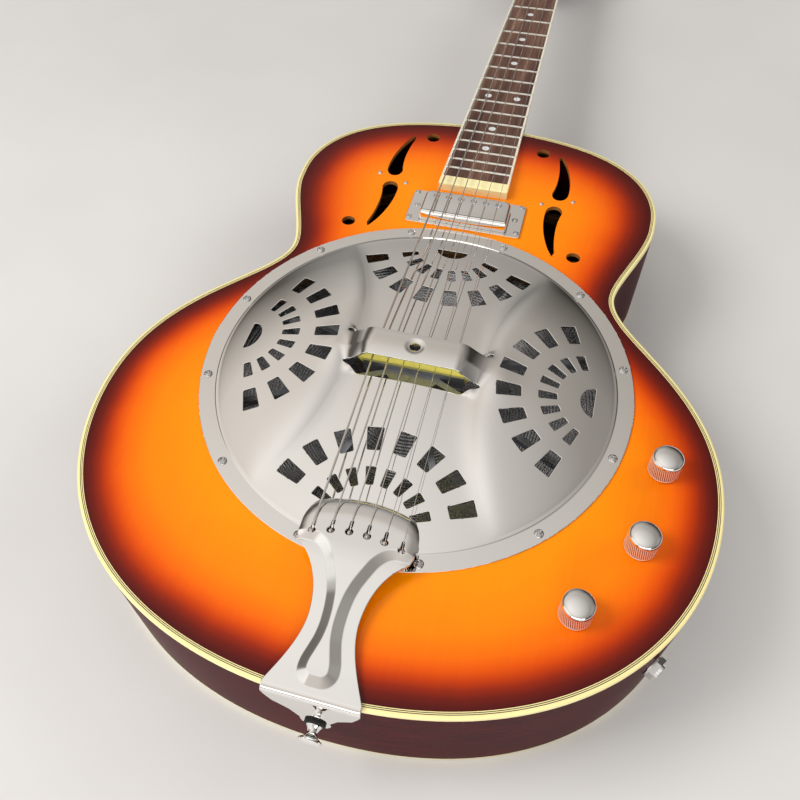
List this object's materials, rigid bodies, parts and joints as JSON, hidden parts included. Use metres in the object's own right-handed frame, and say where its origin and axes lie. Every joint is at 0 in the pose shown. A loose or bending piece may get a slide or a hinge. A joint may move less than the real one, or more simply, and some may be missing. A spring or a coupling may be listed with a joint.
{
  "type": "resonator guitar",
  "caption": "Sunburst wooden resonator guitar with chrome cover plate, palm rest and tailpiece, spider bridge, neck pickup, control knobs, f-holes and geared tuners.",
  "frame": {"origin": "on the flat back's outer face, under the centre of the resonator cone and the bridge saddle", "axes": "+Y along the strings to the headstock, +Z out of the top, +X to the treble side"},
  "size_m": [0.3996, 1.0334, 0.114],
  "materials": {
    "black_plastic": "satin",
    "brass_metal": "polished",
    "burgundy_lacquer": "gloss",
    "cast_aluminium": "matte",
    "chrome_plate": "polished",
    "cream_plastic": "satin",
    "maple": "matte",
    "neck_lacquer": "gloss",
    "nickel_steel": "polished",
    "pearl_plastic": "gloss",
    "rosewood": "satin",
    "rubber_black": "matte",
    "spruce": "matte",
    "spun_aluminium": "brushed",
    "sunburst_lacquer": "gloss"
  },
  "bodies": {
    "guitar": {"back": "burgundy_lacquer", "rim": "burgundy_lacquer", "top": "sunburst_lacquer", "binding": "cream_plastic", "purfling": "black_plastic", "back_binding": "cream_plastic", "linings": "spruce", "braces": "spruce", "neck_block": "maple", "tail_block": "maple", "soundwell": "maple", "resonator_cone": "spun_aluminium", "spider_bridge": "cast_aluminium", "bridge_saddle": "maple", "tension_screw": "nickel_steel", "coverplate": "chrome_plate", "coverplate_screws": "nickel_steel", "tailpiece": "chrome_plate", "strap_button": "chrome_plate", "strap_washer": "rubber_black", "strings": "nickel_steel", "string_ball_ends": "brass_metal", "pickup_plate": "chrome_plate", "pickup_cover": "chrome_plate", "pickup_coils": "black_plastic", "pickup_magnet": "nickel_steel", "pickup_baseplate": "nickel_steel", "pickup_pole_screws": "nickel_steel", "pickup_screws": "nickel_steel", "fingerboard": "rosewood", "fingerboard_binding": "cream_plastic", "fingerboard_end_cap": "cream_plastic", "frets": "nickel_steel", "position_dots": "pearl_plastic", "nut": "cream_plastic", "neck": "neck_lacquer", "truss_rod": "nickel_steel", "tuner_housings": "chrome_plate", "tuner_bushings": "chrome_plate", "tuner_screws": "nickel_steel", "f_hole_studs": "chrome_plate", "control_pots": "nickel_steel", "control_nuts": "nickel_steel", "output_jack": "chrome_plate", "wiring": "rubber_black"},
    "volume_knob": {"volume_knob": "chrome_plate"},
    "tone_knob": {"tone_knob": "chrome_plate"},
    "blend_knob": {"blend_knob": "chrome_plate"},
    "tuner_button_1": {"tuner_button_1": "chrome_plate"},
    "string_post_1": {"string_post_1": "chrome_plate"},
    "tuner_button_2": {"tuner_button_2": "chrome_plate"},
    "string_post_2": {"string_post_2": "chrome_plate"},
    "tuner_button_3": {"tuner_button_3": "chrome_plate"},
    "string_post_3": {"string_post_3": "chrome_plate"},
    "tuner_button_4": {"tuner_button_4": "chrome_plate"},
    "string_post_4": {"string_post_4": "chrome_plate"},
    "tuner_button_5": {"tuner_button_5": "chrome_plate"},
    "string_post_5": {"string_post_5": "chrome_plate"},
    "tuner_button_6": {"tuner_button_6": "chrome_plate"},
    "string_post_6": {"string_post_6": "chrome_plate"}
  },
  "joints": [
    {"name": "volume_knob_turn", "type": "hinge", "parent": "guitar", "child": "volume_knob", "pos_m": [0.1632, -0.0363, 0.095], "axis": [0, 0, 1], "range_deg": [-150, 150]},
    {"name": "tone_knob_turn", "type": "hinge", "parent": "guitar", "child": "tone_knob", "pos_m": [0.1539, -0.0907, 0.095], "axis": [0, 0, 1], "range_deg": [-150, 150]},
    {"name": "blend_knob_turn", "type": "hinge", "parent": "guitar", "child": "blend_knob", "pos_m": [0.1234, -0.14, 0.095], "axis": [0, 0, 1], "range_deg": [-150, 150]},
    {"name": "tuner_button_1_turn", "type": "hinge", "parent": "guitar", "child": "tuner_button_1", "pos_m": [-0.038, 0.691, 0.0399], "axis": [-1, 0, 0], "continuous": true},
    {"name": "string_post_1_turn", "type": "hinge", "parent": "guitar", "child": "string_post_1", "pos_m": [-0.026, 0.68851, 0.0601], "axis": [0, 0.2419, 0.9703], "continuous": true},
    {"name": "tuner_button_2_turn", "type": "hinge", "parent": "guitar", "child": "tuner_button_2", "pos_m": [-0.038, 0.72787, 0.03071], "axis": [-1, 0, 0], "continuous": true},
    {"name": "string_post_2_turn", "type": "hinge", "parent": "guitar", "child": "string_post_2", "pos_m": [-0.026, 0.72539, 0.05091], "axis": [0, 0.2419, 0.9703], "continuous": true},
    {"name": "tuner_button_3_turn", "type": "hinge", "parent": "guitar", "child": "tuner_button_3", "pos_m": [-0.038, 0.76474, 0.02152], "axis": [-1, 0, 0], "continuous": true},
    {"name": "string_post_3_turn", "type": "hinge", "parent": "guitar", "child": "string_post_3", "pos_m": [-0.026, 0.76226, 0.04172], "axis": [0, 0.2419, 0.9703], "continuous": true},
    {"name": "tuner_button_4_turn", "type": "hinge", "parent": "guitar", "child": "tuner_button_4", "pos_m": [0.038, 0.691, 0.0399], "axis": [1, 0, 0], "continuous": true},
    {"name": "string_post_4_turn", "type": "hinge", "parent": "guitar", "child": "string_post_4", "pos_m": [0.026, 0.68851, 0.0601], "axis": [0, 0.2419, 0.9703], "continuous": true},
    {"name": "tuner_button_5_turn", "type": "hinge", "parent": "guitar", "child": "tuner_button_5", "pos_m": [0.038, 0.72787, 0.03071], "axis": [1, 0, 0], "continuous": true},
    {"name": "string_post_5_turn", "type": "hinge", "parent": "guitar", "child": "string_post_5", "pos_m": [0.026, 0.72539, 0.05091], "axis": [0, 0.2419, 0.9703], "continuous": true},
    {"name": "tuner_button_6_turn", "type": "hinge", "parent": "guitar", "child": "tuner_button_6", "pos_m": [0.038, 0.76474, 0.02152], "axis": [1, 0, 0], "continuous": true},
    {"name": "string_post_6_turn", "type": "hinge", "parent": "guitar", "child": "string_post_6", "pos_m": [0.026, 0.76226, 0.04172], "axis": [0, 0.2419, 0.9703], "continuous": true}
  ],
  "couplings": [
    {"joint": "string_post_1_turn", "follows": "tuner_button_1_turn", "ratio": 0.071429},
    {"joint": "string_post_2_turn", "follows": "tuner_button_2_turn", "ratio": 0.071429},
    {"joint": "string_post_3_turn", "follows": "tuner_button_3_turn", "ratio": 0.071429},
    {"joint": "string_post_4_turn", "follows": "tuner_button_4_turn", "ratio": -0.071429},
    {"joint": "string_post_5_turn", "follows": "tuner_button_5_turn", "ratio": -0.071429},
    {"joint": "string_post_6_turn", "follows": "tuner_button_6_turn", "ratio": -0.071429}
  ]
}
